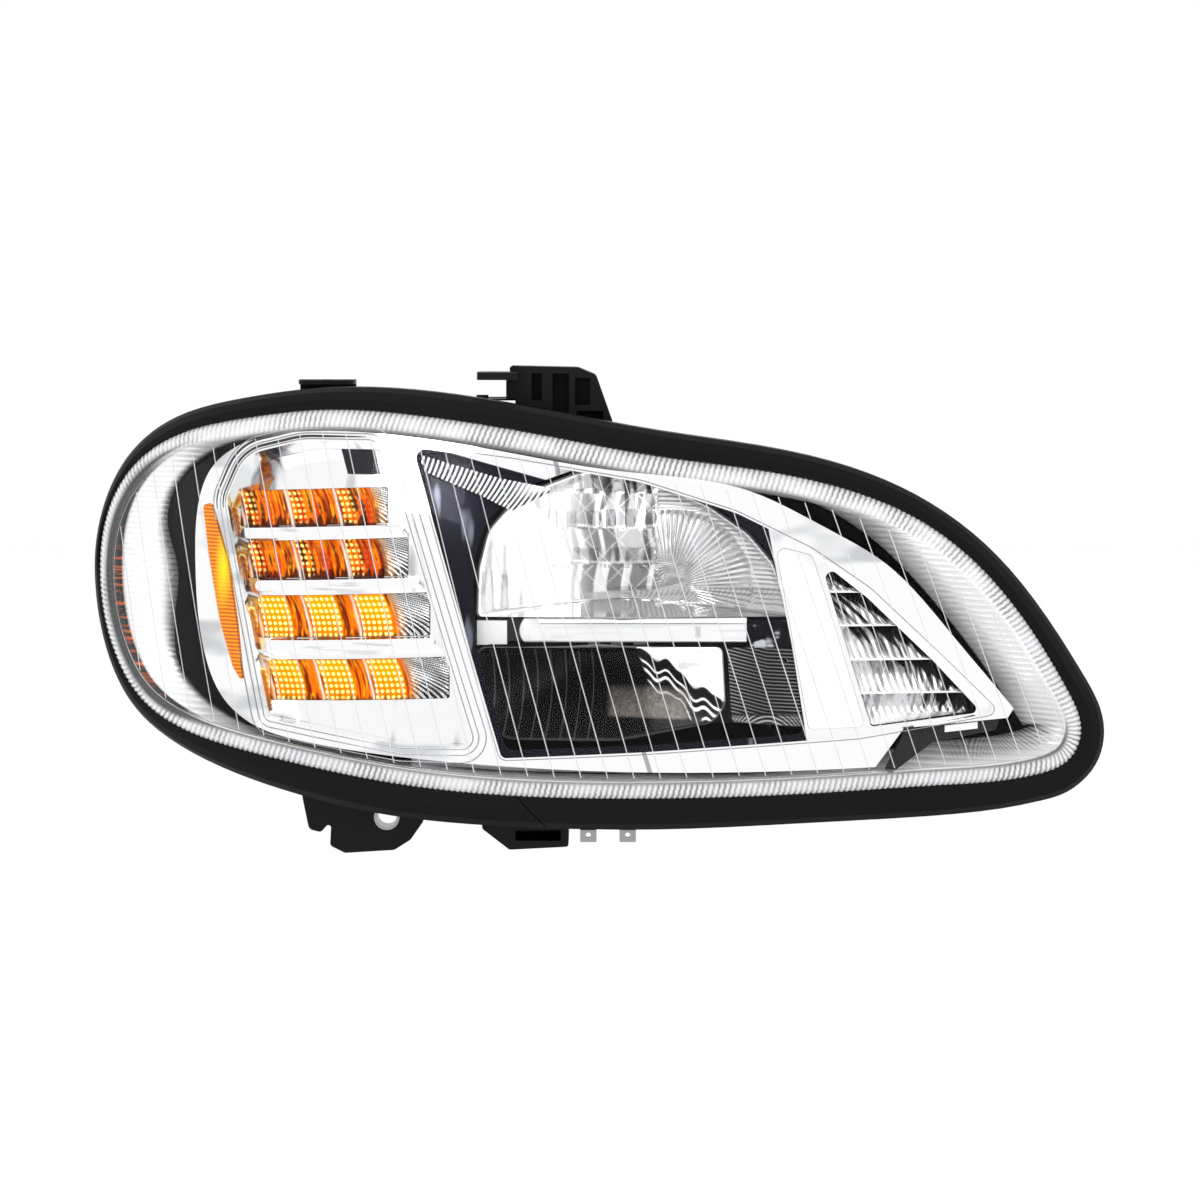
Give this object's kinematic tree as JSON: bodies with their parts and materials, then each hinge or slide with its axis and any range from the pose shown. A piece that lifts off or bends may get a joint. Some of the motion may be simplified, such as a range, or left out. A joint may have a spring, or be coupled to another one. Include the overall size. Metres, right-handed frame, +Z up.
{
  "type": "truck headlight assembly",
  "caption": "Wrap-round headlight with clear lens, chrome bezel, LED beam reflectors on a tilting carrier, amber turn lamp, black rubber surround and rear mounting brackets.",
  "frame": {"origin": "centre of the hole in the inner mounting tab, on the tab's upper face", "axes": "+X from the wrap-round outer end to the pointed inner end, +Y to the rear, +Z up; the lens faces -Y"},
  "size_m": [0.6843, 0.2549, 0.3248],
  "materials": {
    "clear_lens": "clear moulded plastic",
    "sealant": "matt",
    "surround_rubber": "matt",
    "housing_black": "moulded satin",
    "clip_steel": "zinc plated",
    "bezel_chrome": "metallised plastic",
    "marker_amber": "clear amber",
    "circuit_board": "coated",
    "dark_chrome": "dark metallised",
    "flute_chrome": "fluted",
    "skirt_silver": "silvered, fluted",
    "turn_chrome": "metallised plastic",
    "bar_chrome": "metallised plastic",
    "turn_amber": "clear amber",
    "led_amber": "light source",
    "panel_silver": "silvered, fluted",
    "led_white": "light source",
    "step_chrome": "fluted, metallised",
    "beam_chrome": "faceted, metallised",
    "beam_chrome_dark": "metallised, in shadow",
    "shelf_aluminium": "machined",
    "trim_chrome": "brushed bright",
    "panel_black": "ribbed",
    "block_white": "satin",
    "carrier_grey": "glass filled",
    "sink_aluminium": "die cast",
    "stud_steel": "plated",
    "case_black": "satin",
    "gear_white": "acetal",
    "drive_steel": "plated",
    "cap_black": "satin",
    "seal_rubber": "matt",
    "socket_grey": "satin",
    "bulb_glass": "clear",
    "connector_grey": "satin",
    "pin_brass": "tinned",
    "vent_rubber": "matt",
    "driver_aluminium": "die cast",
    "screw_steel": "plated",
    "strip_black": "matt",
    "bracket_black": "moulded",
    "tip_rubber": "matt",
    "bush_steel": "plated"
  },
  "bodies": {
    "housing": {"outer_lens": "clear_lens", "lens_sealant": "sealant", "rubber_surround": "surround_rubber", "rear_housing": "housing_black", "u_nuts": "clip_steel", "chrome_bezel": "bezel_chrome", "side_marker_lens": "marker_amber", "side_marker_board": "circuit_board", "beam_mask": "dark_chrome", "upper_flute_strip": "flute_chrome", "side_skirt": "skirt_silver", "turn_reflector": "turn_chrome", "turn_bars": "bar_chrome", "turn_optic_row_1": "turn_amber", "turn_optic_row_2": "turn_amber", "turn_optic_row_3": "turn_amber", "turn_optic_row_4": "turn_amber", "turn_led_board": "circuit_board", "turn_leds": "led_amber", "position_light_panel": "panel_silver", "position_led_board": "circuit_board", "position_leds": "led_white", "step_reflector": "step_chrome", "pivot_ball_studs": "stud_steel", "aim_gear_case": "case_black", "main_connector": "connector_grey", "connector_pins": "pin_brass", "vent_caps": "vent_rubber", "driver_module": "driver_aluminium", "bezel_screws": "screw_steel", "bezel_edge_strip": "strip_black", "upper_bracket": "bracket_black", "snubber_pin": "stud_steel", "snubber_tip": "tip_rubber", "outer_bracket": "bracket_black", "hook_bracket": "bracket_black", "pivot_bush": "bush_steel", "locator_block": "bracket_black"},
    "beam_carrier": {"reflector_carrier": "carrier_grey", "low_beam_reflector": "beam_chrome", "high_beam_reflector": "beam_chrome_dark", "led_shelf": "shelf_aluminium", "shelf_trim": "trim_chrome", "low_beam_leds": "led_white", "high_beam_leds": "led_white", "beam_side_panel": "panel_black", "shelf_end_block": "block_white", "heat_sink": "sink_aluminium"},
    "aim_rod": {"aim_rod": "stud_steel"},
    "aim_gear": {"aim_gear": "gear_white"},
    "aim_drive": {"aim_drive": "drive_steel"},
    "service_cap": {"service_cap": "cap_black", "service_cap_seal": "seal_rubber"},
    "signal_socket": {"signal_socket": "socket_grey", "signal_socket_seal": "seal_rubber", "signal_bulb": "bulb_glass"}
  },
  "joints": [
    {"name": "aim_drive_turn", "type": "hinge", "parent": "housing", "child": "aim_drive", "pos_m": [0.093, 0.1333, -0.078], "axis": [0, 0, 1], "range_deg": [-246, 246]},
    {"name": "vertical_aim", "type": "hinge", "parent": "housing", "child": "beam_carrier", "pos_m": [0.073, 0.021, -0.164], "axis": [1, 0, 0], "range_deg": [-2.5, 2.5]},
    {"name": "aim_rod_slide", "type": "slide", "parent": "housing", "child": "aim_rod", "axis": [0, 1, 0], "range_m": [-0.00295, 0.00295]},
    {"name": "aim_gear_turn", "type": "hinge", "parent": "housing", "child": "aim_gear", "pos_m": [0.093, 0.12, -0.098], "axis": [0, 1, 0], "range_deg": [-123, 123]},
    {"name": "service_cap_twist", "type": "hinge", "parent": "housing", "child": "service_cap", "pos_m": [0.093, 0.115, -0.178], "axis": [0, -1, 0], "range_deg": [0, 30]},
    {"name": "signal_socket_twist", "type": "hinge", "parent": "housing", "child": "signal_socket", "pos_m": [-0.077, 0.115, -0.122], "axis": [0, -1, 0], "range_deg": [0, 45]}
  ],
  "couplings": [
    {"joint": "aim_drive_turn", "follows": "vertical_aim", "ratio": 96},
    {"joint": "aim_rod_slide", "follows": "vertical_aim", "m_per_rad": -0.066},
    {"joint": "aim_gear_turn", "follows": "vertical_aim", "ratio": -48}
  ]
}
